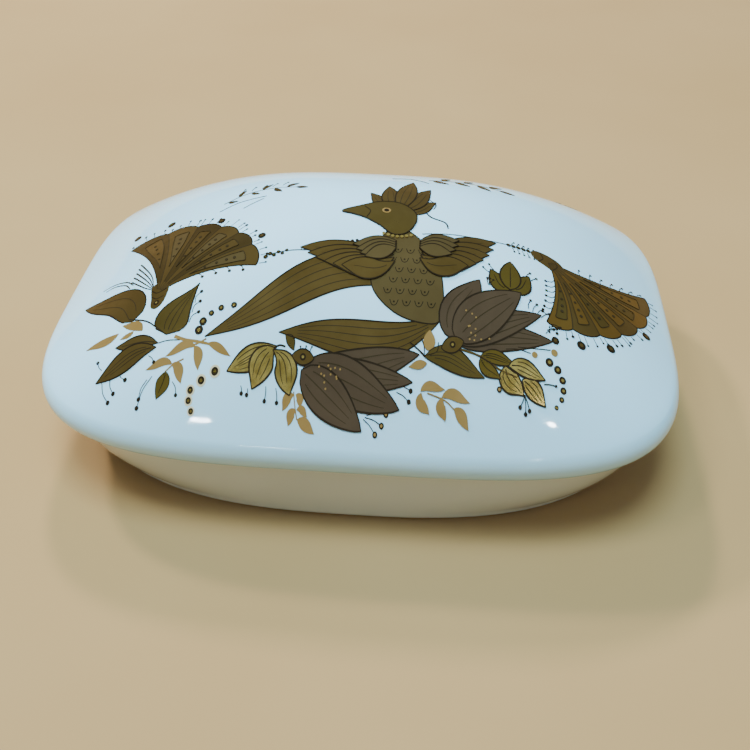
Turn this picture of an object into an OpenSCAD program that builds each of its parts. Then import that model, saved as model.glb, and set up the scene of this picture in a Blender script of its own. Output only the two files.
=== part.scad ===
// Lidded porcelain trinket box: a base whose wall tapers to a rounder foot, and a deeply domed
// lid that lifts off. Millimetres, +X along the length, +Z up.
// Origin: the middle of the foot, on the surface that the box stands on.

/* [Lid] */
// Length of the lid over its rim
lid_length = 140; // [112:1:168]
// Width of the lid over its rim
lid_width = 102; // [82:1:122]
// Rise of the dome above its rolled rim
dome_rise = 26; // [18:1:32]
// Squareness of the lid's outline: 2 is an ellipse, higher is squarer
lid_squareness = 3.9; // [3.2:0.1:5]
// Squareness of the dome's contours near the crown
crown_squareness = 3.1; // [2.2:0.1:3.4]
// Radius of the rolled rim
rim_radius = 4.8; // [4:0.2:6]
// Thickness of the dome
lid_wall = 3.4; // [2.8:0.1:4]

/* [Base] */
// Height of the base's top edge, where the lid rests
seat_height = 15.7; // [13:0.1:22]
// How far the lid's rim stands out past the base's top edge
overhang = 3.4; // [3.2:0.1:4.4]
// How far the wall leans in from its top edge to the foot, along the length
lean_x = 2.7; // [2:0.1:6]
// How far the wall leans in from its top edge to the foot, across the width
lean_y = 1.1; // [0.4:0.1:4]
// Squareness of the foot's outline
foot_squareness = 2.7; // [2.4:0.1:3.4]
// Thickness of the base's wall
base_wall = 3.6; // [3.2:0.1:4.4]
// Thickness of the base's floor
floor_thickness = 3.4; // [2.6:0.1:4.2]

/* [Fit] */
// How far the lid's flange reaches down inside the base
flange_depth = 4; // [3:0.5:5]
// Thickness of the flange
flange_wall = 2.6; // [2:0.1:3.2]
// Gap between the flange and the inside of the base, all round
flange_gap = 0.8; // [0.6:0.1:1.2]

/* [Hidden] */

points_around = 72;
dome_rings = 14;
rim_rings = 5;
wall_rings = 8;
fillet_rings = 4;

half_length = lid_length / 2;
half_width = lid_width / 2;

// The rolled rim: it leaves the dome at 45 degrees, turns over its widest line, and tucks in
// under to the seat.
rim_tuck_turn = 72;
rim_wide_z = seat_height + rim_radius;
dome_foot_inset = rim_radius * (1 - cos(45));
dome_foot_z = rim_wide_z + rim_radius * sin(45);
crown_z = dome_foot_z + dome_rise;

// The base's top edge, the opening inside it, and the flange that drops into the opening.
top_x = half_length - overhang;
top_y = half_width - overhang;
top_squareness = lid_squareness - 0.3;
flange_x = top_x - base_wall - flange_gap;
flange_y = top_y - base_wall - flange_gap;
flange_edge = 0.8;

// The foot: a flat ring, rounded outside, round a shallow hollow.
foot_round = 2.2;
foot_ring_width = 3;
foot_hollow = 1.4;
inside_floor_z = foot_hollow + floor_thickness;
inside_fillet = 5;
wall_curve = 1.8;

// A station of a skin: half length, half width, squareness of the outline, height.
function station(half_x, half_y, squareness, z) = [half_x, half_y, squareness, z];

// Every outline is a rounded rectangle somewhere between an ellipse and a box.
function outline_radius(s, angle) =
    pow(pow(abs(cos(angle)) / s[0], s[2]) + pow(abs(sin(angle)) / s[1], s[2]), -1 / s[2]);
function outline_point(s, angle) =
    [outline_radius(s, angle) * cos(angle), outline_radius(s, angle) * sin(angle), s[3]];

// A closed solid whose skin starts at a middle point, runs out and back through the stations,
// and ends at a middle point.
function ring_point(ring, i) = 1 + ring * points_around + i % points_around;
module skin(first_z, stations, last_z) {
    rings = len(stations);
    last_point = 1 + rings * points_around;
    around = [0 : points_around - 1];
    polyhedron(
        points = concat(
            [[0, 0, first_z]],
            [for (s = stations, i = around) outline_point(s, 360 * i / points_around)],
            [[0, 0, last_z]]
        ),
        faces = concat(
            [for (i = around) [0, ring_point(0, i + 1), ring_point(0, i)]],
            [for (r = [0 : rings - 2], i = around)
                [ring_point(r, i), ring_point(r, i + 1), ring_point(r + 1, i + 1), ring_point(r + 1, i)]],
            [for (i = around) [last_point, ring_point(rings - 1, i), ring_point(rings - 1, i + 1)]]
        )
    );
}

// The dome at a share of the way from the crown (0) to its foot (1). The dome is a paraboloid
// whose contours grow squarer as they near the rim.
function dome_station(share, inset, top_z, rise) = station(
    (half_length - dome_foot_inset - inset) * share,
    (half_width - dome_foot_inset - inset) * share,
    crown_squareness + (lid_squareness - crown_squareness) * pow(share, 2),
    top_z - rise * pow(share, 2)
);

// The rolled rim at an angle below (negative) or above (positive) its widest line.
function rim_station(turn) = let (inset = rim_radius * (1 - cos(turn)))
    station(half_length - inset, half_width - inset, lid_squareness, rim_wide_z + rim_radius * sin(turn));

// The base's wall at a share of its height from the foot (0) to the top edge (1).
function wall_station(share, inset) = let (low = pow(1 - share, wall_curve)) station(
    top_x - lean_x * low - inset,
    top_y - lean_y * low - inset,
    top_squareness + (foot_squareness - top_squareness) * low,
    foot_round + (seat_height - foot_round) * share
);
// The share of the wall's height where the inside fillet meets the wall.
fillet_share = (inside_floor_z + inside_fillet - foot_round) / (seat_height - foot_round);

// A station moved to another height.
function station_at(s, z) = station(s[0], s[1], s[2], z);

module lid() {
    color("aliceblue") skin(
        crown_z,
        concat(
            [for (k = [1 : dome_rings]) dome_station(k / dome_rings, 0, crown_z, dome_rise)],
            [for (k = [1 : rim_rings]) rim_station(45 * (1 - k / rim_rings))],
            [for (k = [1 : rim_rings]) rim_station(-rim_tuck_turn * k / rim_rings)],
            // the flat seat under the rim
            [
                station(top_x, top_y, top_squareness, seat_height),
                station(flange_x, flange_y, top_squareness, seat_height)
            ],
            // the flange
            [
                station(flange_x, flange_y, top_squareness, seat_height - flange_depth + flange_edge),
                station(flange_x - flange_edge, flange_y - flange_edge, top_squareness,
                    seat_height - flange_depth),
                station(flange_x - flange_wall, flange_y - flange_wall, top_squareness,
                    seat_height - flange_depth),
                station(flange_x - flange_wall, flange_y - flange_wall, top_squareness, seat_height + 1)
            ],
            // the inside of the dome
            [for (k = [dome_rings - 2 : -1 : 1])
                dome_station(k / dome_rings, lid_wall, crown_z - lid_wall, dome_rise - 2)]
        ),
        crown_z - lid_wall
    );
}

module base() {
    foot_x = top_x - lean_x;
    foot_y = top_y - lean_y;
    ring_in = foot_round + foot_ring_width;
    color("aliceblue") skin(
        inside_floor_z,
        concat(
            // inside: the floor's edge, its fillet, and the wall up to the top edge
            [for (k = [0 : fillet_rings]) let (turn = k * 90 / fillet_rings)
                station_at(
                    wall_station(fillet_share, base_wall + inside_fillet * (1 - sin(turn))),
                    inside_floor_z + inside_fillet * (1 - cos(turn))
                )],
            [for (k = [1 : wall_rings])
                wall_station(fillet_share + (1 - fillet_share) * k / wall_rings, base_wall)],
            // outside: the wall down to the foot, and the foot's rounded edge
            [for (k = [wall_rings : -1 : 0]) wall_station(k / wall_rings, 0)],
            [for (k = [1 : fillet_rings]) let (turn = k * 90 / fillet_rings)
                station(foot_x - foot_round * (1 - cos(turn)), foot_y - foot_round * (1 - cos(turn)),
                    foot_squareness, foot_round * (1 - sin(turn)))],
            // the foot ring and the hollow inside it
            [
                station(foot_x - ring_in, foot_y - ring_in, foot_squareness, 0),
                station(foot_x - ring_in - foot_hollow, foot_y - ring_in - foot_hollow,
                    foot_squareness, foot_hollow)
            ]
        ),
        foot_hollow
    );
}

base();
lid();
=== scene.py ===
import math
import random

import bpy
import numpy as np
from mathutils import Matrix, Vector
from mathutils.geometry import delaunay_2d_cdt


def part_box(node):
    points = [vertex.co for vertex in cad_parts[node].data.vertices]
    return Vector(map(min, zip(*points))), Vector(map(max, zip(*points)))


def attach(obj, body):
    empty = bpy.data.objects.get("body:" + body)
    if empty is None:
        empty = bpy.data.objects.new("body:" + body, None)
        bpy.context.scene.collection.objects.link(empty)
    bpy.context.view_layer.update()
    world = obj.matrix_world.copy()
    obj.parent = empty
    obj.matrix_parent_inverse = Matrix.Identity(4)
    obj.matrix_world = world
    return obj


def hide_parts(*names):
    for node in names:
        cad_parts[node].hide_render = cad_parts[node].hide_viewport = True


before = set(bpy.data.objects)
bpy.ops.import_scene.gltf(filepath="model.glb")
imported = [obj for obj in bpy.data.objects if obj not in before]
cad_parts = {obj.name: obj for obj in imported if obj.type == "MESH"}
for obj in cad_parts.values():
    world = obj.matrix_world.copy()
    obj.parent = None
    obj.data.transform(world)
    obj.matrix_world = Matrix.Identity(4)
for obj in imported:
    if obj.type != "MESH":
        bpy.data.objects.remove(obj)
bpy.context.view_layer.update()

MM = 0.001  # everything below is in millimetres until a mesh is made

# ---- the shapes of the lid and base
# The same stations as the CAD part, taken more finely. A station is [half length, half width,
# squareness of the outline, height].

HALF_LENGTH, HALF_WIDTH, CROWN_Z = (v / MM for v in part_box("lid")[1])
TOP_X, TOP_Y, SEAT_Z = (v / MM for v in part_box("base")[1])

RIM_RADIUS = 4.8
DOME_RISE = 26
LID_SQUARE, CROWN_SQUARE, FOOT_SQUARE = 3.9, 3.1, 2.7
TOP_SQUARE = LID_SQUARE - 0.3
LID_WALL = 3.4
RIM_TOP_TURN, RIM_TUCK_TURN = 45, 72
LEAN_X, LEAN_Y = 2.7, 1.1
BASE_WALL = 3.6
FLOOR_Z = 4.8
FILLET = 5
WALL_CURVE = 1.8
FOOT_ROUND, FOOT_RING, FOOT_HOLLOW = 2.2, 3, 1.4
FLANGE_DEPTH, FLANGE_WALL, FLANGE_GAP = 4, 2.6, 0.8

RIM_WIDE_Z = SEAT_Z + RIM_RADIUS
DOME_INSET = RIM_RADIUS * (1 - math.cos(math.radians(RIM_TOP_TURN)))
DOME_X = HALF_LENGTH - DOME_INSET
DOME_Y = HALF_WIDTH - DOME_INSET

POINTS_AROUND = 256
DOME_STEPS, RIM_STEPS, INSIDE_STEPS = 52, 26, 40
CEILING_STEPS = 34  # how many of the inside steps there are before the flange
WALL_STEPS, FILLET_STEPS, FOOT_STEPS = 16, 12, 8
SHARP_ANGLE = math.radians(50)


def outline(station, angles):
    """The points of a station's outline, somewhere between an ellipse and a box."""
    half_x, half_y, square, z = station
    c, s = np.cos(angles), np.sin(angles)
    r = (np.abs(c / half_x) ** square + np.abs(s / half_y) ** square) ** (-1 / square)
    return np.stack([r * c, r * s, np.full_like(c, z)], -1)


def dome_station(share, inset=0.0, top_z=CROWN_Z, rise=DOME_RISE):
    """The dome at a share of the way from the crown to its foot."""
    return [
        (DOME_X - inset) * share,
        (DOME_Y - inset) * share,
        CROWN_SQUARE + (LID_SQUARE - CROWN_SQUARE) * share ** 2,
        top_z - rise * share ** 2,
    ]


def rim_station(turn):
    """The rolled rim at an angle above (positive) or below its widest line."""
    inset = RIM_RADIUS * (1 - math.cos(math.radians(turn)))
    z = RIM_WIDE_Z + RIM_RADIUS * math.sin(math.radians(turn))
    return [HALF_LENGTH - inset, HALF_WIDTH - inset, LID_SQUARE, z]


def wall_station(share, inset=0.0, z=None):
    """The base's wall at a share of its height from the foot to the top edge."""
    low = max(0.0, 1 - share) ** WALL_CURVE
    return [
        TOP_X - LEAN_X * low - inset,
        TOP_Y - LEAN_Y * low - inset,
        TOP_SQUARE + (FOOT_SQUARE - TOP_SQUARE) * low,
        FOOT_ROUND + (SEAT_Z - FOOT_ROUND) * share if z is None else z,
    ]


def soften(before, corner, after, radius):
    """Stations that round off a corner between two others."""
    b, c, a = (np.array(s, float) for s in (before, corner, after))

    def toward(p):
        reach = np.linalg.norm((p - c)[[0, 3]])
        return c + (p - c) * min(0.45, radius / max(reach, 1e-6))

    start, end = toward(b), toward(a)
    steps = (0, 0.25, 0.5, 0.75, 1)
    return [list((1 - t) ** 2 * start + 2 * t * (1 - t) * c + t ** 2 * end) for t in steps]


def soften_all(corners, radius):
    """The first and last stations stay, and every one between is rounded."""
    made = [corners[0]]
    for k in range(1, len(corners) - 1):
        made += soften(*corners[k - 1:k + 2], radius)
    return made + [corners[-1]]


def mesh_object(name, points, faces, materials, face_material=None, smooth=True):
    """A mesh from points in millimetres, linked to the scene."""
    mesh = bpy.data.meshes.new(name)
    mesh.from_pydata([tuple(np.asarray(p) * MM) for p in points], [], faces)
    for material in materials:
        mesh.materials.append(material)
    if face_material is not None:
        mesh.polygons.foreach_set("material_index", face_material)
    mesh.polygons.foreach_set("use_smooth", [smooth] * len(mesh.polygons))
    if smooth:
        mesh.set_sharp_from_angle(angle=SHARP_ANGLE)
    mesh.validate()
    obj = bpy.data.objects.new(name, mesh)
    bpy.context.scene.collection.objects.link(obj)
    return obj


def loft(name, stations, materials, bare_bands, first_z, last_z):
    """A closed skin through the stations, with a middle point at either end. The bands whose
    index is in bare_bands take the second material."""
    n = POINTS_AROUND
    angles = np.arange(n) * 2 * math.pi / n
    points = list(np.concatenate([outline(s, angles) for s in stations]))
    faces, which = [], []
    for r in range(len(stations) - 1):
        for i in range(n):
            j = (i + 1) % n
            faces.append((r * n + i, (r + 1) * n + i, (r + 1) * n + j, r * n + j))
            which.append(1 if r in bare_bands else 0)
    first, last = len(points), len(points) + 1
    points += [(0, 0, first_z), (0, 0, last_z)]
    end = (len(stations) - 1) * n
    for i in range(n):
        j = (i + 1) % n
        faces += [(first, i, j), (last, end + j, end + i)]
        which += [0, 0]
    return mesh_object(name, points, faces, materials, which)


# ---- materials


class Nodes:
    """Short ways to make and join shader nodes."""

    def __init__(self, name):
        self.material = bpy.data.materials.new(name)
        self.material.use_nodes = True
        self.tree = self.material.node_tree
        self.shader = self.tree.nodes["Principled BSDF"]
        self.place = self.make("ShaderNodeTexCoord").outputs["Object"]

    def make(self, kind):
        return self.tree.nodes.new(kind)

    def link(self, a, b):
        self.tree.links.new(a, b)

    def set(self, **values):
        """Numbers that are the same all over the surface, set on the shader's own sockets."""
        for key, value in values.items():
            self.shader.inputs[key.replace("_", " ")].default_value = value

    def noise(self, scale, detail=3.0, roughness=0.55, distortion=0.0):
        node = self.make("ShaderNodeTexNoise")
        self.link(self.place, node.inputs["Vector"])
        values = {"Scale": scale, "Detail": detail, "Roughness": roughness, "Distortion": distortion}
        for key, value in values.items():
            node.inputs[key].default_value = value
        return node.outputs["Fac"]

    def ramp(self, source, stops):
        """A ramp between two stops, each a place and a colour or, for roughness, a number."""
        node = self.make("ShaderNodeValToRGB")
        self.link(source, node.inputs["Fac"])
        for mark, (place, colour) in zip(node.color_ramp.elements, stops):
            mark.position = place
            mark.color = (*colour, 1) if isinstance(colour, tuple) else (colour, colour, colour, 1)
        return node.outputs["Color"]

    def bump(self, source, strength, distance, normal=None):
        node = self.make("ShaderNodeBump")
        node.inputs["Strength"].default_value = strength
        node.inputs["Distance"].default_value = distance
        self.link(source, node.inputs["Height"])
        if normal is not None:
            self.link(normal, node.inputs["Normal"])
        return node.outputs["Normal"]

    def into(self, source, name):
        self.link(source, self.shader.inputs[name])


def glaze(name, dark, light):
    """Thick glossy glaze: two close tones, an uneven gloss, and a fine peel over slow waves."""
    n = Nodes(name)
    n.into(n.ramp(n.noise(scale=26, detail=2.0), [(0.3, dark), (0.7, light)]), "Base Color")
    n.into(n.ramp(n.noise(scale=90, detail=2.0), [(0.3, 0.03), (0.75, 0.07)]), "Roughness")
    peel = n.bump(n.noise(scale=1100, detail=1.0), strength=0.30, distance=0.000010)
    waves = n.bump(n.noise(scale=240, detail=1.0), strength=0.22, distance=0.00005, normal=peel)
    n.into(waves, "Normal")
    n.set(IOR=1.5, Coat_Weight=0.15, Coat_Roughness=0.03, Subsurface_Weight=0.06, Subsurface_Scale=0.002)
    return n.material


def bare():
    """Unglazed porcelain, where the two pieces meet and under the foot."""
    n = Nodes("bare_porcelain")
    clouds = n.noise(scale=60, detail=4.0)
    grain = n.noise(scale=900, detail=4.0)
    n.into(n.ramp(clouds, [(0.3, (0.72, 0.70, 0.65)), (0.75, (0.80, 0.78, 0.73))]), "Base Color")
    n.into(n.ramp(grain, [(0.3, 0.55), (0.75, 0.75)]), "Roughness")
    n.into(n.bump(grain, strength=0.25, distance=0.0001), "Normal")
    return n.material


def gilt(name, dark, light, metal, rough, cloud_scale=75):
    """A fired metal film: two tones in soft clouds, brush-fine grain and a slightly uneven gloss."""
    n = Nodes(name)
    clouds = n.noise(cloud_scale, detail=4.0, roughness=0.6, distortion=0.4)
    grain = n.noise(scale=520, detail=3.0)
    n.into(n.ramp(clouds, [(0.28, dark), (0.72, light)]), "Base Color")
    n.into(n.ramp(grain, [(0.3, rough * 0.82), (0.75, rough * 1.25)]), "Roughness")
    swell = n.bump(clouds, strength=0.12, distance=0.0002)
    n.into(n.bump(grain, strength=0.16, distance=0.00003, normal=swell), "Normal")
    n.set(Metallic=metal)
    return n.material


# The lid is white porcelain. Its blue-white glaze colour is painted cool light: the blue cast of the light
# from above is put into the colour.
LID_GLAZE_PAINTED_COOL_LIGHT = glaze("glaze_lid_painted_cool_light", (0.48, 0.765, 0.92), (0.51, 0.795, 0.95))
# The base is the same white porcelain as the lid. Its darker, warmer glaze colour is painted shade: the
# shade under the lid's overhang and the warm light thrown up from the floor.
BASE_GLAZE_PAINTED_SHADE = glaze("glaze_base_painted_shade", (0.62, 0.635, 0.55), (0.66, 0.675, 0.59))
BARE = bare()
# The tones of the decoration: a material slot, then a dark and a light tone, how metallic it is,
# how rough, and for the gold a finer scale of clouds.
FILMS = {
    "bronze": ("bronze_gilt", gilt("bronze", (0.15, 0.082, 0.018), (0.22, 0.128, 0.034), 0.75, 0.36)),
    "deep": ("bronze_gilt", gilt("bronze_deep", (0.10, 0.056, 0.014), (0.15, 0.088, 0.024), 0.75, 0.38)),
    "umber": ("bronze_gilt", gilt("bronze_umber", (0.23, 0.114, 0.018), (0.31, 0.162, 0.032), 0.75, 0.36)),
    "taupe": ("bronze_gilt", gilt("bronze_taupe", (0.145, 0.090, 0.029), (0.205, 0.130, 0.046), 0.7, 0.4)),
    "olive": ("bronze_gilt", gilt("bronze_olive", (0.16, 0.096, 0.02), (0.24, 0.148, 0.036), 0.8, 0.33)),
    "ochre": ("bronze_gilt", gilt("bronze_ochre", (0.22, 0.13, 0.02), (0.30, 0.19, 0.035), 0.85, 0.3)),
    # The gold's fine clouds from dark to bright are partly painted highlight: they stand in for glints on
    # the gold, laid over the gilding's real changes of tone.
    "gold": ("bright_gilt", gilt("bright_gold_painted_glints", (0.36, 0.20, 0.028), (1.0, 0.66, 0.18), 0.85, 0.22, 240)),
    "mauve": ("mauve_lustre", gilt("mauve_lustre", (0.100, 0.057, 0.030), (0.14, 0.085, 0.046), 0.6, 0.34)),
    "pale": ("pale_gilt", gilt("pale_gilt", (0.40, 0.215, 0.055), (0.50, 0.285, 0.09), 0.55, 0.42)),
    "cream": ("pale_gilt", gilt("cream_gilt", (0.78, 0.62, 0.36), (0.86, 0.70, 0.44), 0.3, 0.4)),
    "seam": ("dark_line", gilt("fine_line", (0.055, 0.034, 0.013), (0.080, 0.050, 0.020), 0.6, 0.42)),
    "line": ("dark_line", gilt("dark_line", (0.030, 0.017, 0.007), (0.048, 0.028, 0.012), 0.6, 0.42)),
}

# ---- the two castings

LID_SOFTENING, LIP_SOFTENING, FOOT_SOFTENING = 0.7, 0.8, 0.6
SEAT_BANDS, LIP_BANDS, FOOT_BANDS = 8, 7, 5  # how many bands are left unglazed in each place
FLAT_INSET = 30  # the last ring of points, on the flat under the base


def make_lid():
    """Dome, rolled rim, seat and flange from the outside in, and then the ceiling."""
    inner_top, inner_rise = CROWN_Z - LID_WALL, DOME_RISE - 2
    edge_x, edge_y = TOP_X - BASE_WALL - FLANGE_GAP, TOP_Y - BASE_WALL - FLANGE_GAP

    def flange(inset, z):
        return [edge_x - inset, edge_y - inset, TOP_SQUARE, z]

    def rim(k):
        return rim_station(RIM_TOP_TURN - k * (RIM_TOP_TURN + RIM_TUCK_TURN) / RIM_STEPS)

    def inside(k):
        return dome_station(k / INSIDE_STEPS, LID_WALL, inner_top, inner_rise)

    dome = [dome_station((k / DOME_STEPS) ** 0.9) for k in range(1, DOME_STEPS + 1)]
    roll = [rim(k) for k in range(1, RIM_STEPS + 1)]
    ceiling = [inside(k) for k in range(CEILING_STEPS, 0, -1)]
    seat = [
        roll[-1],
        [TOP_X, TOP_Y, TOP_SQUARE, SEAT_Z],
        flange(0, SEAT_Z),
        flange(0, SEAT_Z - FLANGE_DEPTH),
        flange(FLANGE_WALL, SEAT_Z - FLANGE_DEPTH),
        flange(FLANGE_WALL, SEAT_Z + 1),
        ceiling[0],
    ]
    stations = dome + roll[:-1] + soften_all(seat, LID_SOFTENING)[1:-1] + ceiling
    first = len(dome) + len(roll)
    bare_bands = range(first, first + SEAT_BANDS)
    return loft("lid_casting", stations, [LID_GLAZE_PAINTED_COOL_LIGHT, BARE], bare_bands, CROWN_Z, inner_top)


def make_base():
    """Floor, fillet and wall from the inside out, and then lip, wall, foot and hollow."""
    foot_x, foot_y = TOP_X - LEAN_X, TOP_Y - LEAN_Y
    fillet_share = (FLOOR_Z + FILLET - FOOT_ROUND) / (SEAT_Z - FOOT_ROUND)

    def fillet(turn):
        inset = BASE_WALL + FILLET * (1 - math.sin(turn))
        return wall_station(fillet_share, inset, FLOOR_Z + FILLET * (1 - math.cos(turn)))

    def foot(inset, z):
        return [foot_x - inset, foot_y - inset, FOOT_SQUARE, z]

    def foot_round(turn):
        return foot(FOOT_ROUND * (1 - math.cos(turn)), FOOT_ROUND * (1 - math.sin(turn)))

    inside = [fillet(math.radians(k * 90 / FILLET_STEPS)) for k in range(FILLET_STEPS + 1)]
    floor = [[s * inside[0][0], s * inside[0][1], FOOT_SQUARE, FLOOR_Z] for s in (0.3, 0.6, 0.85)]
    wall_in = [wall_station(fillet_share + (1 - fillet_share) * k / FILLET_STEPS, BASE_WALL)
               for k in range(1, FILLET_STEPS + 1)]
    wall_out = [wall_station(1 - k / WALL_STEPS) for k in range(WALL_STEPS + 1)]
    lip = soften_all([*wall_in[-2:], *wall_out[:2]], LIP_SOFTENING)[1:-1]
    under = [foot_round(math.radians(k * 90 / FOOT_STEPS)) for k in range(1, FOOT_STEPS + 1)]
    ring_in = FOOT_ROUND + FOOT_RING
    hollow = [foot(FOOT_ROUND, 0), foot(ring_in, 0), foot(ring_in + FOOT_HOLLOW, FOOT_HOLLOW),
              foot(FLAT_INSET, FOOT_HOLLOW)]
    hollow = soften_all(hollow, FOOT_SOFTENING)[1:]
    stations = floor + inside + wall_in[:-1] + lip + wall_out[1:] + under + hollow
    lip_first = len(floor) + len(inside) + len(wall_in)
    foot_first = lip_first + len(lip) + len(wall_out) + len(under) - 4
    bare_bands = [*range(lip_first, lip_first + LIP_BANDS), *range(foot_first, foot_first + FOOT_BANDS)]
    return loft("base_casting", stations, [BASE_GLAZE_PAINTED_SHADE, BARE], bare_bands, FLOOR_Z, FOOT_HOLLOW)


lid = make_lid()
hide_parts("lid")
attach(lid, "lid")

base = make_base()
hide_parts("base")
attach(base, "base")

# ---- drawing on the dome

FILM = 0.06       # how far a fired film stands proud of the glaze
OVER = 0.022      # how far a line drawn over a film stands proud of it
LAYER = 0.036     # how far a petal stands proud of the one behind it
UNDER = 0.04      # how far a film reaches down into the glaze
GRID = 1.1        # spacing of the points inside a film
GRID_ROW = 0.87   # the step between rows of those points, as a share of their spacing
CLEARANCE = 0.35  # how far those points stay from the border
TOO_NEAR = 0.03   # border points nearer than this are taken as one
HALVINGS = 34


def dome_height(x, y):
    """The dome's height over points of the plan, by halving."""
    low, high = np.full(x.shape, 1e-4), np.full(x.shape, 1.3)
    for _ in range(HALVINGS):
        share = (low + high) / 2
        square = CROWN_SQUARE + (LID_SQUARE - CROWN_SQUARE) * share ** 2
        reach_x, reach_y = np.abs(x / (DOME_X * share)), np.abs(y / (DOME_Y * share))
        inside = reach_x ** square + reach_y ** square < 1
        low, high = np.where(inside, low, share), np.where(inside, share, high)
    return CROWN_Z - DOME_RISE * ((low + high) / 2) ** 2


def on_dome(plan, lift):
    """Points of the plan, placed on the dome and lifted along its normal."""
    x, y = plan[:, 0], plan[:, 1]
    step = 0.05
    slope_x = (dome_height(x + step, y) - dome_height(x - step, y)) / (2 * step)
    slope_y = (dome_height(x, y + step) - dome_height(x, y - step)) / (2 * step)
    normal = np.stack([-slope_x, -slope_y, np.ones_like(x)], -1)
    normal /= np.linalg.norm(normal, axis=1, keepdims=True)
    return np.stack([x, y, dome_height(x, y)], -1) + normal * np.asarray(lift)[:, None]


class Film:
    """The triangles of one piece of decoration, kept as plan points with a height each."""

    def __init__(self, level):
        self.plan, self.lift, self.faces = [], [], []
        self.level = level

    def add(self, plan, lift, triangles):
        """A thin closed slab: a top over the triangles, a copy below, and walls at the border."""
        plan = np.asarray(plan, float)
        at, n = sum(len(p) for p in self.plan), len(plan)
        self.plan += [plan, plan]
        self.lift += [np.full(n, lift + self.level), np.full(n, -UNDER)]
        for a, b, c in triangles:
            self.faces += [(at + a, at + b, at + c), (at + n + a, at + n + c, at + n + b)]
        edges = dict.fromkeys(e for a, b, c in triangles for e in ((a, b), (b, c), (c, a)))
        for a, b in edges:
            if (b, a) not in edges:
                self.faces.append((at + b, at + a, at + n + a, at + n + b))

    def shape(self, border, lift):
        """A filled outline, with points inside it so that it can follow the dome."""
        border = tidy_border(border)
        low, high = border.min(0), border.max(0)
        grid = []
        for row, y in enumerate(np.arange(low[1], high[1], GRID * GRID_ROW)):
            for x in np.arange(low[0] + (row % 2) * GRID / 2, high[0], GRID):
                grid.append((x, y))
        grid = np.array(grid)
        inner = grid[inside_border(grid, border)]
        every = list(border) + list(inner)
        points, _, made, *_ = delaunay_2d_cdt(
            [Vector(p) for p in every], [], [list(range(len(border)))], 1, 1e-5)
        plan = np.array([(p.x, p.y) for p in points])
        triangles = []
        for a, b, c in made:
            turn = np.cross(plan[b] - plan[a], plan[c] - plan[a])
            triangles.append((a, b, c) if turn > 0 else (a, c, b))
        self.add(plan, lift, triangles)

    def stroke(self, path, width, lift, taper=(1.0, 1.0), swell=0.0):
        """A line of a width that may taper to either end and swell in the middle."""
        path = np.asarray(path, float)
        n = len(path)
        t = np.linspace(0, 1, n)
        half = width / 2 * (taper[0] + (taper[1] - taper[0]) * t + swell * np.sin(math.pi * t))
        side = sideways(path) * half[:, None]
        plan = np.concatenate([path + side, path - side])
        triangles = []
        for k in range(n - 1):
            triangles += [(k, n + k, n + k + 1), (k, n + k + 1, k + 1)]
        self.add(plan, lift, triangles)

    def dot(self, place, radius, lift=FILM, sides=12):
        x, y = place
        turns = np.arange(sides) * 2 * math.pi / sides
        rim = np.stack([x + radius * np.cos(turns), y + radius * np.sin(turns)], -1)
        plan = np.concatenate([[(x, y)], rim])
        self.add(plan, lift, [(0, 1 + k, 1 + (k + 1) % sides) for k in range(sides)])

    def make(self, name, kind):
        """The film's mesh, lying on the dome and riding on the lid."""
        slot, material = FILMS[kind]
        points = on_dome(np.concatenate(self.plan), np.concatenate(self.lift))
        obj = mesh_object(name, points, self.faces, [material])
        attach(obj, "lid")


def tidy_border(border):
    """The border without points that sit on one another, turning anticlockwise."""
    border = np.asarray(border, float)
    keep = [border[0]]
    for p in border[1:]:
        if np.linalg.norm(p - keep[-1]) > TOO_NEAR:
            keep.append(p)
    if np.linalg.norm(keep[0] - keep[-1]) < TOO_NEAR:
        keep.pop()
    border = np.array(keep)
    after = np.roll(border, -1, axis=0)
    area = np.sum(border[:, 0] * after[:, 1] - after[:, 0] * border[:, 1])
    return border if area > 0 else border[::-1]


def inside_border(points, border):
    """Which points lie inside a border and clear of it."""
    x, y = points[:, 0:1], points[:, 1:2]
    a, b = border, np.roll(border, -1, axis=0)
    crosses = ((a[:, 1] > y) != (b[:, 1] > y)) & (
        x < (b[:, 0] - a[:, 0]) * (y - a[:, 1]) / (b[:, 1] - a[:, 1] + 1e-12) + a[:, 0])
    inside = crosses.sum(1) % 2 == 1
    d = b - a
    t = ((x - a[:, 0]) * d[:, 0] + (y - a[:, 1]) * d[:, 1]) / np.maximum((d ** 2).sum(1), 1e-12)
    t = np.clip(t, 0, 1)
    gap = np.hypot(x - a[:, 0] - t * d[:, 0], y - a[:, 1] - t * d[:, 1]).min(1)
    return inside & (gap > CLEARANCE)


def curve(points, steps=7, closed=False):
    """A smooth line through the points."""
    p = np.asarray(points, float)
    n = len(p)
    if closed:
        p = np.concatenate([p[-1:], p, p[:2]])
    else:
        p = np.concatenate([2 * p[:1] - p[1:2], p, 2 * p[-1:] - p[-2:-1]])
    made = []
    for k in range(n if closed else n - 1):
        a, b, c, d = p[k:k + 4]
        for t in np.arange(steps) / steps:
            square, cube = 2 * a - 5 * b + 4 * c - d, 3 * b - a - 3 * c + d
            made.append(0.5 * (2 * b + (c - a) * t + square * t ** 2 + cube * t ** 3))
    if not closed:
        made.append(p[-2])
    return np.array(made)


def sideways(path):
    """The direction across a path, to its left, at each of its points."""
    along = np.gradient(path, axis=0)
    along /= np.linalg.norm(along, axis=1, keepdims=True)
    return np.stack([-along[:, 1], along[:, 0]], -1)


def polar(origin, angle, length):
    """The point at an angle in degrees and a distance from another."""
    turn = math.radians(angle)
    return np.array([origin[0] + length * math.cos(turn), origin[1] + length * math.sin(turn)])


def heading(a, b):
    """The direction from one point to another, in degrees."""
    return math.degrees(math.atan2(b[1] - a[1], b[0] - a[0]))


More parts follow.
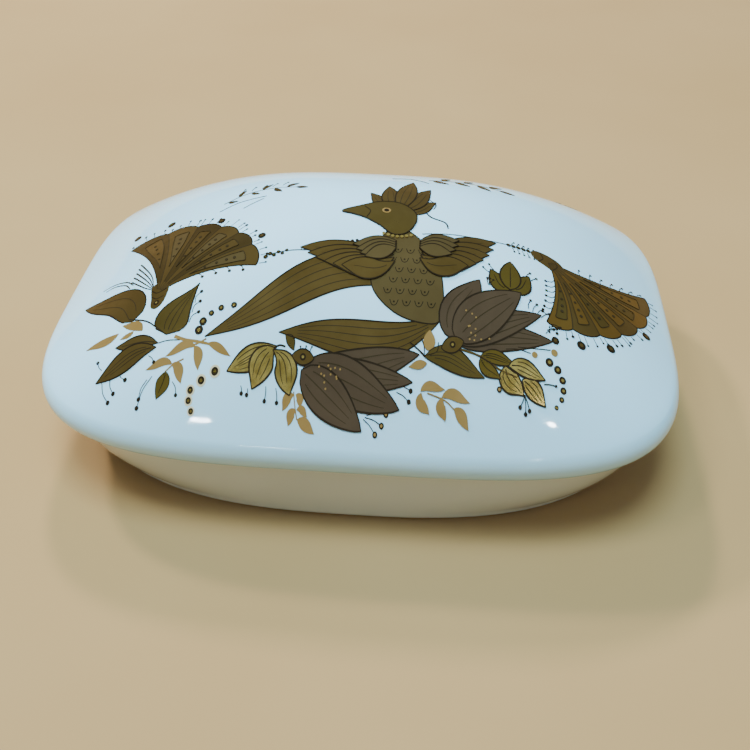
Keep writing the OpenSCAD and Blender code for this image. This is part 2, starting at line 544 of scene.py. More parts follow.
class Art:
    """One motif: a film for each tone that it uses. Motifs are drawn in plan millimetres, and one
    with more layers lies over the others."""

    def __init__(self, name, layers):
        self.name = name
        self.level = layers * LAYER
        self.films = {}
        self.draws = random.Random(name)

    def film(self, kind):
        return self.films.setdefault(kind, Film(self.level))

    def finish(self):
        for kind, film in self.films.items():
            film.make(self.name + "_" + kind, kind)

    def line(self, points, width, kind="line", taper=(1.0, 1.0), swell=0.0, lift=FILM):
        self.film(kind).stroke(curve(points), width, lift, taper, swell)

    def bead(self, place, radius, eye="gold", halo=None):
        """A dark dot with a bright middle, and a pale ring round it if it has a halo."""
        if halo:
            self.film(halo).dot(place, radius * 1.5, FILM, 18)
        self.film("line").dot(place, radius, FILM + 0.03, 18)
        if eye:
            self.film(eye).dot(place, radius * 0.42, FILM + 0.06)

    def beads(self, row, eye="gold", halo=None):
        for *place, radius in row:
            self.bead(place, radius, eye, halo)

    def stamen(self, start, angle, length, bend, head, kind="line", open_head=False):
        """A thin curved thread with a small bead on its end."""
        end = polar(start, angle, length)
        middle = polar((np.asarray(start) + end) / 2, angle + 90, bend)
        self.line([start, middle, end], 0.17, kind, (0.8, 0.8))
        if head:
            self.film(kind).dot(end, head)
        if open_head:
            self.film("pale").dot(end, head * 0.5, FILM + 0.04, 10)

    def outlined(self, points, kind, layer, edge_lift):
        """A smooth closed shape with a dark line round it."""
        border = curve(points, 6, closed=True)
        self.film(kind).shape(border, FILM + LAYER * layer)
        self.film("line").stroke(np.concatenate([border, border[:1]]), 0.24, edge_lift)

    def leaf_frame(self, base, tip, bend):
        """A leaf's middle line and the direction across it, at even steps from base to tip."""
        base, tip = np.asarray(base, float), np.asarray(tip, float)
        across = np.array([base[1] - tip[1], tip[0] - base[0]])
        across /= np.linalg.norm(across)
        t = np.linspace(0, 1, max(14, int(math.hypot(*(tip - base)) / 0.9)))
        sway = bend * np.sin(math.pi * t) + bend * 0.35 * np.sin(2 * math.pi * t)
        middle = base + (tip - base) * t[:, None] + across * sway[:, None]
        return t, middle, sideways(middle)

    def leaf(self, base, tip, width, kind="bronze", bend=0.0, belly=0.8, left=1.0, right=1.0, edge=0.2,
             ribs=0, midrib=0.0, rib_width=0.15, layer=0, point=1.0):
        """A pointed leaf. A belly over 1 puts its widest place nearer the tip, left and right are
        the shares of the half width on each side, and a point under 1 gives blunter ends."""
        t, middle, side = self.leaf_frame(base, tip, bend)
        half = width / 2 * np.sin(math.pi * t ** belly) ** point
        a = middle + side * (half * left)[:, None]
        b = middle - side * (half * right)[:, None]
        lift = FILM + LAYER * layer
        over = lift + OVER
        self.film(kind).shape(np.concatenate([a, b[::-1][1:-1]]), lift)
        inner = "line" if kind in ("gold", "ochre") else "seam"
        if edge:
            self.film("line").stroke(a, edge, over, (0.7, 0.7), 0.5)
            self.film("line").stroke(b, edge, over, (0.7, 0.7), 0.5)
        if midrib:
            self.film(inner).stroke(middle[1:-2], midrib, over, (1.2, 0.5))
        for k in range(ribs):
            share = (k + 1) / (ribs + 1) * 2 - 1
            reach = middle + side * (half * np.where(share > 0, left, right) * share)[:, None]
            start = len(t) // 10 + int(abs(share) * 2) + self.draws.randrange(2)
            self.film(inner).stroke(reach[start:-max(3, len(t) // 8)], rib_width, over, (1.0, 0.5), 0.3)

    def pale_leaves(self, *leaves):
        """Small flat leaves with no line round them: base, tip, width and bend."""
        for x, y, tip_x, tip_y, width, bend in leaves:
            self.leaf((x, y), (tip_x, tip_y), width, "pale", bend=bend, edge=0.0)

    def tulip(self, base, petals, kind="mauve", ribs=3, belly=0.74, specks=12):
        """A cup of pointed petals, the rearmost first, each an angle, a length, a width and a bend."""
        for layer, (angle, length, width, bend) in enumerate(petals):
            start = polar(base, angle + bend * 6, length * 0.03)
            self.leaf(start, polar(base, angle, length), width, kind, bend=bend, belly=belly, ribs=ribs,
                      edge=0.28, rib_width=0.19, layer=layer, point=0.8)
        angles = [petal[0] for petal in petals]
        for k in range(specks):
            angle = self.draws.uniform(min(angles), max(angles))
            spot = polar(base, angle, petals[0][1] * self.draws.uniform(0.14, 0.36))
            self.film("pale").dot(spot, 0.18, FILM + LAYER * (len(petals) + 0.5), 8)

    def calyx(self, centre, angle, length, width):
        """A bronze oval over the foot of a tulip, with a bead in its middle."""
        a, b = polar(centre, angle + 180, length / 2), polar(centre, angle, length / 2)
        self.leaf(a, b, width, belly=1.0, edge=0.22, point=0.7, layer=5)
        self.film("line").dot(centre, 0.6, FILM + LAYER * 6, 18)
        self.film("gold").dot(centre, 0.26, FILM + LAYER * 6.5)

    def fan(self, throat, angles, radii, kinds, flare, panels):
        """A trumpet-shaped blossom of wedges between the given angles, scalloped along the outer
        edge, each with a panel and a row of dots. It returns the two functions that find a place
        on it and along its edge."""
        middle_angle = (angles[0] + angles[-1]) / 2
        scallop = 0.8

        def place(angle, share, radius):
            squeeze = flare + (1 - flare) * share
            return polar(throat, middle_angle + (angle - middle_angle) * squeeze, radius * share)

        def side(k):
            return [place(angles[k], share, radii[k]) for share in np.linspace(0.04, 1, 14)]

        def rim_point(k, t, grow=0.0):
            angle = angles[k] + (angles[k + 1] - angles[k]) * t
            radius = radii[k] + (radii[k + 1] - radii[k]) * t
            bump = scallop * math.sin(math.pi * t) ** 0.7 if 0 < t < 1 else 0
            return place(angle, 1.0, radius + bump + grow)

        for k in range(len(angles) - 1):
            rim = [rim_point(k, t) for t in np.linspace(0, 1, 12)]
            border = side(k) + rim[1:-1] + side(k + 1)[::-1]
            self.film(kinds[k % len(kinds)]).shape(border, FILM)
            self.line(side(k), 0.24, "line" if k == 0 else "seam", (0.6, 1.0), lift=FILM + OVER)
            self.film("line").stroke(rim, 0.26, FILM + OVER)
            width, radius = angles[k + 1] - angles[k], (radii[k] + radii[k + 1]) / 2

            def panel_point(share, hand):
                bulge = 0.28 * math.sin((share - 0.34) / 0.56 * 2.2)
                return place(angles[k] + width * (0.5 + hand * bulge), share, radius)

            panel = [panel_point(share, -1) for share in np.linspace(0.34, 0.9, 10)]
            panel += [panel_point(share, 1) for share in np.linspace(0.9, 0.34, 10)[:-1]]
            self.film(panels[k % len(panels)]).shape(panel, FILM + 0.035)
            self.line(panel + panel[:1], 0.14, "seam", lift=FILM + 0.1)
            for share in (0.5, 0.62, 0.72, 0.8):
                spot = place(angles[k] + width * 0.5, share, radius)
                self.film("seam").dot(spot, 0.12 + 0.30 * share, FILM + 0.11)
        self.line(side(len(angles) - 1), 0.26, "line", (0.6, 1.0), lift=FILM + OVER)
        return place, rim_point

    def throat(self, points):
        """The smooth tube that a fan grows from."""
        self.film("bronze").shape(curve(points, closed=True), FILM + 0.02)

    def fringe(self, rim_point, wedges, reach, beads):
        """Tiny threads and dots set round a fan's outer edge, and a few larger beads."""
        for k in range(wedges):
            for share in np.linspace(0.1, 0.9, 4):
                grow = self.draws.uniform(*reach)
                share += self.draws.uniform(-0.06, 0.06)
                a, b = rim_point(k, share, 0.35), rim_point(k, share, grow)
                self.film("line").stroke([a, (a + b) / 2, b], 0.13, FILM, (0.8, 0.8))
                self.film("line").dot(b, self.draws.uniform(0.2, 0.36), FILM, 10)
        self.beads(beads, "bronze")

    def sprig(self, points, leaves, size, kind, width, stem, edge):
        """A stem with leaves to either side in turn and one on its end."""
        path = curve(points, 10)
        self.film(kind).stroke(path, stem, FILM, (1.0, 0.5))
        for k in range(leaves):
            spot = (k + 0.6) / (leaves + 0.4)
            i = min(int(spot * (len(path) - 1)), len(path) - 2)
            hand = 1 if k % 2 else -1
            reach = size * self.draws.uniform(0.88, 1.1)
            tip = polar(path[i], heading(path[i], path[i + 1]) + 48 * hand, reach)
            self.leaf(path[i], tip, reach * width * 1.25, kind, bend=reach * 0.1 * hand, edge=edge)
        tip = polar(path[-1], heading(path[-4], path[-1]), size)
        self.leaf(path[-1], tip, size * width * 1.2, kind, edge=edge)


# ---- the picture on the lid


def fan_left(art):
    angles = [7, 24, 41, 59, 78, 98, 119]
    radii = [21, 20.8, 20.2, 20.4, 21.2, 23, 26]
    place, rim_point = art.fan((-42, -21.5), angles, radii, ["bronze", "deep"], 0.72, ["taupe", "bronze"])
    art.throat([(-43.6, -19.5), (-43, -23.2), (-42.6, -25.2), (-41.2, -25.6), (-40, -24),
                (-39.6, -20.5), (-41.5, -18.6)])
    art.line([(-43.4, -20.6), (-42, -21.6), (-40, -21)], 0.24, lift=FILM + OVER)
    art.line([(-43, -22.4), (-41.8, -23.2), (-40.3, -22.8)], 0.2, lift=FILM + OVER)
    art.bead((-41.6, -24.2), 0.6)
    beads = [(-54.5, 6.5, 0.9), (-45.5, 5.4, 0.95), (-32, -1.2, 0.9), (-21.2, -10.6, 0.85)]
    art.fringe(rim_point, len(angles) - 1, (1, 2.8), beads)
    for k in range(5):
        strand = [(-43.4, -19.4 - 0.2 * k), (-44.9 - 0.25 * k, -15.2 - 0.8 * k),
                  (-49.2 - 0.15 * k, -8.6 - 1.5 * k)]
        art.line(strand, 0.26, "seam", (0.5, 1.4))
    for k in range(4):
        art.stamen(place(angles[0], 0.42 + 0.14 * k, radii[0]), -42 - 4 * k, 1.5, 0.2, 0.34, "seam")


def fan_right(art):
    angles = [-92, -75, -57, -39, -20, -1, 17]
    radii = [18.6, 18.8, 19.8, 20.6, 21.6, 23.4, 25.4]
    place, rim_point = art.fan((39.5, -6), angles, radii, ["umber", "bronze"], 0.6, ["olive", "umber"])
    art.throat([(36, -5), (38, -3.9), (42, -4.8), (43.6, -7.6), (42, -9.6), (39.5, -8.6),
                (36.6, -7)])
    art.line([(38, -4.2), (38.6, -6), (37.6, -7.6)], 0.24, lift=FILM + OVER)
    art.line([(41, -4.8), (41.8, -6.8), (40.6, -9)], 0.24, lift=FILM + OVER)
    beads = [(61.9, -14.4, 0.95), (52.6, -24.9, 0.95), (46.1, -27.3, 0.95), (40.6, -28.3, 0.8)]
    art.fringe(rim_point, len(angles) - 1, (1, 2.6), beads)
    for k in range(7):
        start = place(angles[0], 0.34 + 0.09 * k, radii[0])
        art.stamen(start, 215 - 5 * k, 2.4 - 0.12 * k, 0.4, 0.32)
        start = place(angles[-1], 0.30 + 0.1 * k, radii[-1])
        art.stamen(start, 92 - 6 * k, 1.9, 0.3, 0.28)


def leaves_left(art):
    art.leaf((-46.2, -27.4), (-60.5, -16.8), 7, bend=-2.4, belly=0.58, right=1.1, ribs=2, edge=0.26,
             point=0.85)
    stem = [(-47.2, -26.6), (-43, -28.2), (-40.5, -30), (-38.6, -31.4)]
    art.line(stem, 0.3, "seam", (1.2, 0.6))
    stem = [(-36, -32.6), (-33.6, -33.5), (-31, -34), (-28.4, -34.6)]
    art.line(stem, 0.55, "pale", (1.2, 0.8))
    art.pale_leaves((-28.8, -34.4, -23.8, -36.8, 1.5, 0.2))
    art.leaf((-37.8, -32), (-32.6, -21.6), 7.4, "olive", bend=0.6, belly=0.5, left=1.05, right=0.95,
             ribs=2, midrib=0.2, edge=0.26, point=1.3)
    for k in range(2):
        strand = [(-57.4 + k, -12.6 - k), (-54.6 + 0.5 * k, -12.4 - k), (-51.2, -13.7 - 1.1 * k),
                  (-49.0 - 0.6 * k, -16.0 - 0.8 * k)]
        art.line(strand, 0.28, "seam", (0.4, 0.8), 0.4)
    for k in range(3):
        art.stamen((-33.4 + k * 0.3, -30.2 + k * 2), 48 + k * 10, 2.6, 0.5, 0.36)
    # the dark pair below
    art.leaf((-39.4, -33.4), (-48.8, -32.6), 2.9, bend=-0.4, belly=1, ribs=1, midrib=0.2, edge=0.24)
    art.leaf((-39.6, -34.2), (-51.8, -39), 4.4, bend=-1, belly=0.95, ribs=2, midrib=0.2, edge=0.24,
             layer=1)
    art.line([(-39.6, -33.5), (-37.4, -33.2), (-34.8, -33.4)], 0.16)
    for k, (angle, length) in enumerate(((-62, 4.2), (-70, 3.4), (-50, 2.6))):
        art.stamen((-50.4 + k * 1.7, -39.2 + k * 0.9), angle, length, -0.4, 0.42)
    art.stamen((-51, -36.6), 125, 2.2, 0.2, 0.36)
    art.stamen((-41, -35.6), -45, 1.9, 0.2, 0.36)
    # pale leaves and sprays
    art.pale_leaves((-48.8, -29.4, -56, -30.9, 2, 0.4), (-43.4, -30.2, -48.4, -27.7, 2.1, -0.5),
                    (-45.4, -29.8, -48.2, -31, 1.1, 0.2), (-31.2, -34.9, -37.4, -36.2, 1.7, -0.8),
                    (-31.6, -34.8, -30.2, -39, 1.9, 0.5))
    art.line([(-29.2, -33.6), (-31, -34.4), (-33.4, -34.8)], 0.3, "pale")
    art.pale_leaves((-35.6, -37.7, -41.2, -38.2, 1.6, -0.7), (-35.8, -37.6, -33.4, -41, 2, 0.6))
    art.leaf((-36.8, -38.8), (-38.2, -43.3), 2.7, "ochre", bend=0.2, edge=0.12, ribs=1)
    art.line([(-33.4, -36.9), (-35.4, -37.7), (-37, -38.9)], 0.26, "pale")
    art.stamen((-40.6, -39.9), -112, 3.4, -0.4, 0.4)
    art.stamen((-39.6, -39.4), -116, 5.6, -0.5, 0.42)
    art.stamen((-35.2, -40.6), -66, 2.4, 0.3, 0.34)


def dots_left(art):
    art.beads([(-24.4, -27.5, 0.62), (-27, -27.9, 0.62), (-28.9, -28.8, 0.58),
               (-30.4, -30.3, 0.8), (-31, -31.9, 0.86)])
    art.beads([(-26.7, -39.2, 0.72), (-29.3, -40.6, 0.68), (-31.3, -42.1, 0.6),
               (-31.5, -43.7, 0.56), (-30.8, -45.3, 0.5)], "ochre", "cream")


def leaves_gold_left(art):
    art.leaf((-14.6, -35), (-24.3, -39.2), 4.2, "gold", bend=-0.2, belly=1, ribs=4, edge=0.28,
             midrib=0.18)
    art.leaf((-15.2, -35.2), (-19, -41.9), 4.8, "gold", bend=-0.6, belly=0.85, ribs=3, edge=0.28,
             layer=1)
    art.leaf((-15.4, -35.6), (-11.4, -42.6), 4.4, "gold", bend=1, belly=1.1, ribs=3, edge=0.28,
             layer=2)
    art.line([(-15.4, -35.4), (-14.2, -34.8), (-13, -35)], 0.3, lift=FILM + OVER)
    for start, angle, length in (((-21.2, -41.4), -80, 1.2), ((-19.8, -41.8), -95, 1),
                                 ((-16.2, -41.4), -92, 2.2), ((-14.2, -41.6), -80, 2.2)):
        art.stamen(start, angle, length, 0.1, 0.36)
    art.line([(-10.6, -42), (-10.2, -44), (-9.6, -46)], 0.2, "pale")
    art.pale_leaves((-10.5, -42.4, -12.6, -44.9, 1.7, -0.5), (-10.2, -42.4, -9, -44.3, 1.4, 0.4),
                    (-9.9, -44.6, -11.3, -47, 1.6, -0.4), (-9.8, -44.6, -7.6, -45.6, 1.3, 0.4),
                    (-9.6, -46, -6, -47.9, 1.9, 0.2))


def tulip_front(art):
    art.tulip((-9.8, -38.4), [(8, 23.6, 6.8, -1.2), (-3, 22.4, 5.6, -0.2), (-15, 20.8, 7.6, 0.7),
                              (-34, 15.6, 6.8, 0)])
    art.calyx((-9.3, -36.6), 175, 4.4, 2.6)
    for k in range(4):
        start = (3.4 + k * 0.3, -45.4 + k * 0.3)
        art.stamen(start, -40 + k * 22, 3.2 + k * 0.3, 0.2, 0.5, open_head=True)
    for k in range(2):
        art.stamen((9.6, -41.2 + k), -28 + k * 14, 2.8, 0.2, 0.42)
    for k in range(3):
        art.stamen((-9.6 + k * 0.8, -35.7), 116 - k * 22, 0.9, 0.1, 0.16)


def tulip_back(art):
    art.tulip((20.2, -32.6), [(11, 20.2, 5.4, 0.4), (27, 19.6, 5.6, 0), (71, 14.2, 6.8, 1.3),
                              (44, 18.4, 8.4, 0.4)])
    art.calyx((20, -33), 20, 4.6, 2.8)
    for angle in (100, 84, 66):
        art.stamen(polar((26.8, -20.4), angle, 0.6), angle, 1.6, 0.1, 0.26)
    for k in range(4):
        art.stamen((35.0 + k * 0.9, -23.0 - k * 0.4), 78 - k * 12, 2.2, 0.2, 0.3)
        art.stamen((38.6 + k * 0.3, -27.4 + k * 0.8), 40 - k * 14, 2.2, 0.2, 0.3)
    art.line([(33, -31.6), (36, -31.2), (39.6, -30.6)], 0.16)
    art.film("pale").dot((40.4, -30.9), 0.7, FILM, 14)
    art.line([(30.6, -32.4), (33, -32), (35.6, -32.2)], 0.16)
    art.film("pale").dot((36.4, -32.3), 0.6, FILM, 14)


def bud_ochre(art):
    base = (31.2, -20)
    petals = [(134, 6, 3.4, 0.8), (54, 6.9, 3.4, -0.8), (90, 8.2, 4.4, 0)]
    art.tulip(base, petals, "ochre", ribs=1, belly=0.8, specks=0)
    for angle in (128, 142):
        art.stamen(polar(base, angle, 5.6), angle, 1.6, 0.1, 0.24)
    for angle in (46, 58):
        art.stamen(polar(base, angle, 6.4), angle, 1.7, 0.1, 0.3)


def leaves_right(art):
    art.leaf((14.6, -35.4), (26.6, -37.9), 4, "olive", bend=1, ribs=2, midrib=0.16)
    art.line([(11.6, -33.2), (13.2, -34.2), (14.8, -35.4)], 0.34, "line", (0.5, 1))
    art.leaf((15.4, -34.4), (15.4, -30.8), 2.4, "pale", edge=0, point=0.8)
    art.line([(14.6, -35.4), (14.4, -33.6), (13.8, -32.4)], 0.18)
    art.line([(15, -35.2), (17, -34.4), (17.2, -32.8)], 0.18)
    art.pale_leaves((15.2, -36.4, 11.6, -37.2, 1.5, 0))
    # bronze and gold pairs along a low stem
    art.line([(21.6, -33.6), (25.6, -34.4), (29.6, -36.2), (33, -37)], 0.34, "bronze")
    art.leaf((25.6, -34.4), (32.6, -34.9), 2.5, "ochre", bend=0.4, ribs=2, midrib=0.14)
    art.leaf((25.6, -34.6), (29.8, -37.7), 2.3, "ochre", bend=-0.5, ribs=1, midrib=0.14, layer=1)
    for base, tip, width, bend, edge, layer in (
            ((30.6, -35.4), (34.4, -39.8), 3.9, -0.7, 0.26, 0),
            ((31.2, -35.3), (38.6, -36.5), 3.1, 0.6, 0.26, 1),
            ((34, -37.2), (38.8, -40.9), 3.3, 0.3, 0.28, 0)):
        art.leaf(base, tip, width, "gold", bend=bend, ribs=3, edge=edge, midrib=0.18, layer=layer)
    art.stamen((30, -37), -100, 2.4, 0.2, 0.5, open_head=True)
    art.stamen((38.4, -37.2), 4, 2.4, 0.1, 0.24)
    for angle, length in ((-112, 2.2), (-84, 3), (-66, 2.6)):
        art.stamen((34.6, -39.6), angle, length, 0.1, 0.36)
    # pale sprays
    art.pale_leaves((14.4, -41, 16.2, -44.2, 1.9, -0.7), (14.2, -40.8, 19, -40.3, 1.6, 0.6),
                    (18.6, -41.6, 19.4, -45, 1.9, -0.5), (18.4, -41.5, 24, -42, 1.8, 0.7),
                    (20.9, -43, 24, -46, 2, 0.3))
    art.line([(15.6, -41), (19, -41.9), (21.1, -43.2)], 0.2, "pale")


def dots_right(art):
    art.beads([(39.4, -33, 0.82), (41.1, -34, 0.78), (42.1, -35.7, 0.7),
               (42.3, -37.5, 0.64), (42, -39.1, 0.52), (41, -40.6, 0.42)])


def garland(art):
    art.line([(-19.6, -16.6), (-14.4, -15.6), (-9.6, -15.6)], 0.2)
    art.line([(-9.6, -15.6), (-5, -13.6), (3.6, -12.6)], 0.16)
    for k in range(6):
        y = -16.8 + k * 0.18 + (0.35 if k % 2 else -0.2)
        art.bead((-19.4 + k * 0.85, y), 0.5 - 0.03 * k, "ochre")
    for k in range(5):
        art.bead((-4.6 + k * 0.95, -13.4 + k * 0.2), 0.34, None)
    for k in range(3):
        art.stamen((-12.2 + k * 0.6, -15.6), 62 + k * 8, 1.5, 0.1, 0)
    art.line([(12.6, -9.4), (18, -8), (24, -7), (31, -5.8)], 0.2)
    for k in range(5):
        art.bead((31.0 + k * 1.1, -5.8 + k * 0.12), 0.5, "ochre")
        art.stamen((31.6 + k * 1.1, -5.5), 66, 1.4, 0.1, 0.24)
        art.stamen((31.8 + k * 1.1, -6.3), -70, 1.3, 0.1, 0.24)


def bird(art):
    """A perched bird of no particular kind, with spread wings, a crest and two long tail plumes."""
    # tail plumes
    art.leaf((12, -22.5), (-29.6, -33.2), 8.4, bend=-5.4, belly=0.78, ribs=4, edge=0.26, rib_width=0.16)
    art.leaf((17.6, -28.6), (-14.6, -32.6), 6.8, bend=2.6, belly=0.92, ribs=4, edge=0.26, rib_width=0.16)
    art.leaf((-13.2, -33.1), (-11.2, -35.6), 1.6, "olive", bend=0.3, edge=0.16)
    # body
    body = [(5.4, -9.4), (3.4, -14), (2.6, -19), (3.6, -24), (8, -28), (13.4, -29.6),
            (17.4, -28.8), (17.6, -23), (16, -16), (12.4, -11.4), (9.6, -9), (7.4, -8.4)]
    art.outlined(body, "taupe", 1, FILM + LAYER + OVER)
    # crest, head and beak, eye and collar
    crest = (((0.6, 4.6), 0.8, 3.4), ((15, 3.4), -1, 3.4), ((4.4, 8.8), 0.7, 4),
             ((13.6, 9), -0.7, 4), ((9.6, 12.6), 0, 4.4))
    for layer, (tip, bend, width) in enumerate(crest):
        art.leaf((7.2, -3), tip, width, bend=bend, belly=1, ribs=2, edge=0.22, layer=layer)
    head = [(-4.8, -3.6), (-0.8, -1.4), (3.4, 0.6), (7.8, 0.4), (10.8, -2.6), (11, -6.4),
            (9.2, -9.8), (6.4, -10.4), (3.6, -8), (0.4, -5.8), (-2.4, -4.6)]
    art.outlined(head, "olive", 5, FILM + LAYER * 6)
    art.line([(-0.2, -1.7), (1.2, -3.4), (0.6, -5.6)], 0.2, lift=FILM + LAYER * 6)
    eye = (4.6, -2.9)
    art.film("pale").dot(eye, 0.95, FILM + LAYER * 6, 16)
    art.film("line").dot(eye, 0.55, FILM + LAYER * 7, 14)
    for k in range(7):
        y = -10.4 - 0.7 * math.sin(k / 6 * math.pi)
        art.film("gold").dot((4.6 + k * 0.95, y), 0.36, FILM + LAYER * 6.5, 10)
    # wings: long feathers first, short coverts over them
    for k in range(6):
        t = k / 5
        left = polar((6, -13.6), 184 + 26 * t, 18.4 - 7.6 * t)
        right = polar((13, -13), 22 - 42 * t, 16.4 - 6.4 * t)
        for root, tip, bend in (((6.4 + t, -13.4 - 4.0 * t), left, 1.2),
                                ((13.2 - 0.8 * t, -12.6 - 3.6 * t), right, -1.2)):
            art.leaf(root, tip, 4.8, bend=bend, belly=1.1, ribs=1, edge=0.24, layer=2 + k)
    for k in range(4):
        t = k / 3
        left = polar((6.8, -13), 186 + 28 * t, 8.4 - 1.6 * t)
        right = polar((12.8, -12.4), 20 - 36 * t, 8.0 - 1.6 * t)
        for root, tip in (((7.4, -12.4 - 1.8 * t), left), ((12.2, -11.8 - 1.8 * t), right)):
            art.leaf(root, tip, 3.4, "taupe", belly=0.9, edge=0.22, layer=8 + k)
    # breast feathers
    for row in range(6):
        for k in range(4):
            x = 5.4 + k * 2.5 + (row % 2) * 1.2 + row * 0.25
            y = -14.4 - row * 2.3
            scale = [(x - 0.85, y + 0.3), (x - 0.5, y - 0.55), (x, y - 0.8), (x + 0.5, y - 0.55),
                     (x + 0.85, y + 0.3)]
            art.line(scale, 0.16, lift=FILM + LAYER + OVER)
            art.film("line").dot((x, y - 0.1), 0.2, FILM + LAYER + OVER, 8)
    # small loose plumes behind the head
    plume = [(11.6, 4), (13.4, 2), (13, -0.8), (14.2, -3), (17.2, -4), (18, -6)]
    art.line(plume, 0.3, taper=(0.6, 1), swell=0.5)
    art.line([(13.4, 4.2), (15, 2.6), (14.6, 0.4)], 0.24, taper=(0.5, 0.8), swell=0.5)


def sprays_far(art):
    """The part of the picture that the lid's far half shows at its very edge."""
    art.sprig([(-33, 6.6), (-28, 9), (-22, 9.6), (-16.6, 8.6)], 6, 2.8, "bronze", 0.28, 0.2, 0.1)
    for k in range(5):
        art.stamen((-29.6 + k * 2.4, 10.2 + 0.1 * k), 72 - k * 4, 1.8, 0.1, 0.26)
    art.line([(-33.4, 3.4), (-29, 5.4), (-23, 6)], 0.2, "seam")
    art.line([(-27.6, 2.2), (-25.4, 3.8), (-23.4, 5)], 0.18, "seam")
    art.sprig([(13, 17), (18, 19), (24, 20.4), (29.5, 20.2)], 6, 3.8, "bronze", 0.3, 0.3, 0.14)
    art.line([(13, 14), (9, 16.4), (4.6, 15.8)], 0.24)


def garland_far(art):
    """A garland round the lid's far side, which the camera doesn't see."""
    path = curve([(-50, 38.4), (-42, 41), (-30, 40.6), (-15, 38.6), (0, 37.4), (15, 38.6),
                  (30, 40.6), (42, 41), (50, 38.4)], 12)
    art.film("bronze").stroke(path, 0.5, FILM)
    tones = ["bronze", "pale", "olive", "umber", "gold"]
    leaves = 20
    for k in range(leaves):
        i = int((k + 0.5) / leaves * (len(path) - 2))
        way = heading(path[i], path[i + 1])
        hand = 1 if k % 2 else -1
        reach = art.draws.uniform(4.6, 5.6)
        kind = tones[k % len(tones)]
        ribs, edge = (0, 0) if kind == "pale" else (2, 0.2)
        art.leaf(path[i], polar(path[i], way + hand * 46, reach), reach * 0.44, kind, bend=hand * -0.5,
                 ribs=ribs, edge=edge, layer=OVER / LAYER)
        art.stamen(path[i], way - hand * 58, 2.2, 0.3, 0.34)
    for hand in (-1, 1):
        foot = (hand * 19, 40)
        axis = 90 - hand * 76
        petals = [(axis + 27, 8.6, 4.4, 1), (axis - 27, 8.6, 4.4, -1), (axis + 9, 10.2, 4.4, 0.4),
                  (axis - 8, 10.6, 4.6, -0.2)]
        art.tulip(foot, petals, ribs=2, belly=0.76, specks=6)
        art.calyx(foot, axis, 2.8, 2)
    petals = [(136, 5, 3, 0.6), (44, 5, 3, -0.6), (90, 6.6, 3.6, 0)]
    art.tulip((0, 37.6), petals, "ochre", ribs=1, belly=0.8, specks=0)
    for k in range(7):
        y = 35.4 - 0.8 * math.sin(k / 6 * math.pi)
        art.bead((-4.5 + k * 1.5, y), 0.56 - 0.06 * abs(k - 3))


# Every motif, and how many layers it is raised so that it lies over its neighbours.
MOTIFS = {fan_left: 0, fan_right: 0, leaves_left: 0, dots_left: 0, leaves_gold_left: 1,
          tulip_front: 2, tulip_back: 1, bud_ochre: 1, leaves_right: 5, dots_right: 0, garland: 0,
          bird: 0, sprays_far: 0, garland_far: 1}
for motif, layers in MOTIFS.items():
    art = Art(motif.__name__, layers)
    motif(art)
    art.finish()

# ---- floor, light and camera

SENSOR_MM = 36
LENS_MM = 46.896
CAMERA_TARGET = (5.9, -22.2, 20.0)
CAMERA_DISTANCE = 213.5
CAMERA_AZIMUTH, CAMERA_PITCH, CAMERA_ROLL = -3.84, 40.1, 0.76
CAMERA_SHIFT = (-0.0126, 0.0008)
FLOOR_REACH = 1500
FLOOR_LEVEL = -0.1  # a hair below the foot
LIGHT_TARGET = (0, 0, 0.02)  # metres
DAYLIGHT, SKYLIGHT = (0.97, 0.98, 1.0), (0.92, 0.97, 1.0)


def look(azimuth, pitch, roll):
    """The camera's right, up and forward directions. Azimuth 0 looks along +Y."""
    a, p, r = (math.radians(v) for v in (azimuth, pitch, roll))
    forward = Vector((math.sin(a) * math.cos(p), math.cos(a) * math.cos(p), -math.sin(p)))
    right = Vector((math.cos(a), -math.sin(a), 0))
    up = right.cross(forward)
    return math.cos(r) * right + math.sin(r) * up, math.cos(r) * up - math.sin(r) * right, forward


def make_camera():
    right, up, forward = look(CAMERA_AZIMUTH, CAMERA_PITCH, CAMERA_ROLL)
    place = Vector(CAMERA_TARGET) * MM - forward * CAMERA_DISTANCE * MM
    data = bpy.data.cameras.new("camera")
    data.sensor_width = SENSOR_MM
    data.lens = LENS_MM
    data.shift_x, data.shift_y = CAMERA_SHIFT
    data.clip_start = 0.01
    camera = bpy.data.objects.new("camera", data)
    camera.matrix_world = Matrix.Translation(place) @ Matrix((right, up, -forward)).transposed().to_4x4()
    bpy.context.scene.collection.objects.link(camera)
    bpy.context.scene.camera = camera


def make_floor():
    n = Nodes("floor_pale")
    tones = [(0.3, (0.42, 0.245, 0.10)), (0.7, (0.45, 0.27, 0.115))]
    n.into(n.ramp(n.noise(scale=9), tones), "Base Color")
    n.set(Roughness=0.75)
    corners = ((-1, -1), (1, -1), (1, 1), (-1, 1))
    points = [(x * FLOOR_REACH, y * FLOOR_REACH, FLOOR_LEVEL) for x, y in corners]
    floor = mesh_object("floor", points, [(0, 1, 2, 3)], [n.material], smooth=False)


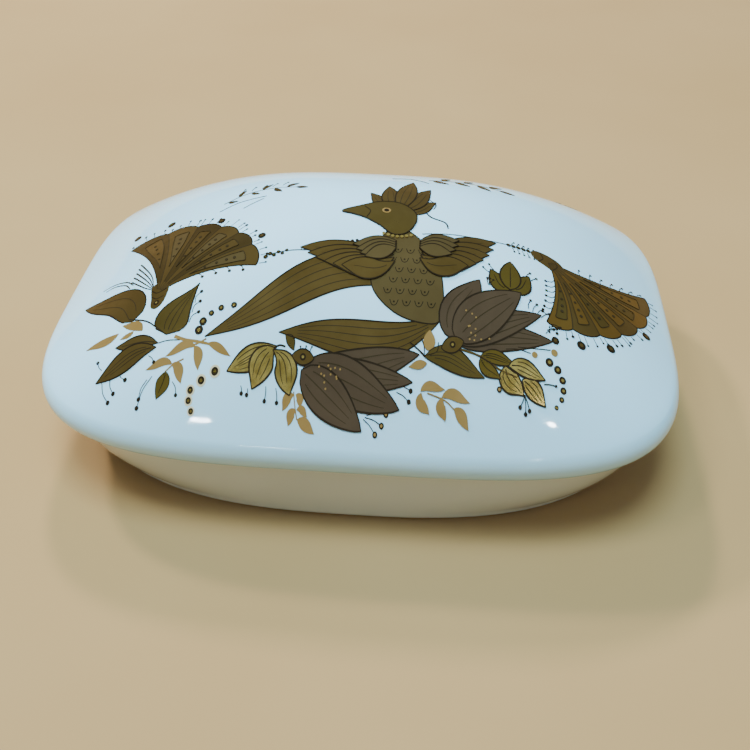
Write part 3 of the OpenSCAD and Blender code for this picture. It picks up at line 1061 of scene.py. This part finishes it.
def make_light(name, azimuth, elevation, distance, width, height, watts, colour, seen=True):
    """A soft rectangle that faces the box. Azimuth 0 is behind it, towards +Y, and 90 is +X. The
    large ones aren't seen in the gloss, where the small ones make the highlights."""
    a, e = math.radians(azimuth), math.radians(elevation)
    way = Vector((math.sin(a) * math.cos(e), math.cos(a) * math.cos(e), math.sin(e)))
    data = bpy.data.lights.new(name, "AREA")
    data.shape = "RECTANGLE"
    data.size, data.size_y = width, height
    data.energy = watts
    data.color = colour
    light = bpy.data.objects.new(name, data)
    light.location = Vector(LIGHT_TARGET) + way * distance
    light.rotation_euler = (-way).to_track_quat("-Z", "Y").to_euler()
    light.visible_glossy = seen
    bpy.context.scene.collection.objects.link(light)


def make_world():
    """A studio that is cool and bright overhead, and warm where it meets the floor."""
    world = bpy.data.worlds.new("studio")
    world.use_nodes = True
    tree = world.node_tree
    background = tree.nodes["Background"]
    place = tree.nodes.new("ShaderNodeTexCoord")
    split = tree.nodes.new("ShaderNodeSeparateXYZ")
    ramp = tree.nodes.new("ShaderNodeValToRGB")
    tree.links.new(place.outputs["Generated"], split.inputs["Vector"])
    tree.links.new(split.outputs["Z"], ramp.inputs["Fac"])
    tree.links.new(ramp.outputs["Color"], background.inputs["Color"])
    low, high = ramp.color_ramp.elements
    low.position, low.color = 0.02, (0.25, 0.18, 0.11, 1)
    high.position, high.color = 0.6, (0.20, 0.31, 0.38, 1)
    ramp.color_ramp.elements.new(0.32).color = (0.10, 0.12, 0.13, 1)
    bpy.context.scene.world = world


make_camera()
make_floor()
make_world()
make_light("key_back", -16, 42, 1.1, 0.11, 0.11, 9.5, DAYLIGHT, seen=False)
make_light("key_left", -52, 42, 1.1, 0.11, 0.11, 8.5, DAYLIGHT, seen=False)
make_light("left_high", -100, 62, 1.0, 0.18, 0.18, 3.4, (0.80, 0.93, 1.0), seen=False)
make_light("front_left", -151, 44, 0.94, 0.055, 0.004, 0.26, SKYLIGHT)
make_light("front_right", 138, 50.8, 0.94, 0.040, 0.012, 0.28, SKYLIGHT)
make_light("rim_left", -168, 27, 0.94, 0.085, 0.006, 0.36, SKYLIGHT)
make_light("rim_right", 158, 27, 0.94, 0.045, 0.006, 0.18, SKYLIGHT)
make_light("top_fill", -150, 83, 0.85, 0.36, 0.36, 10.0, (0.56, 0.87, 1.0), seen=False)
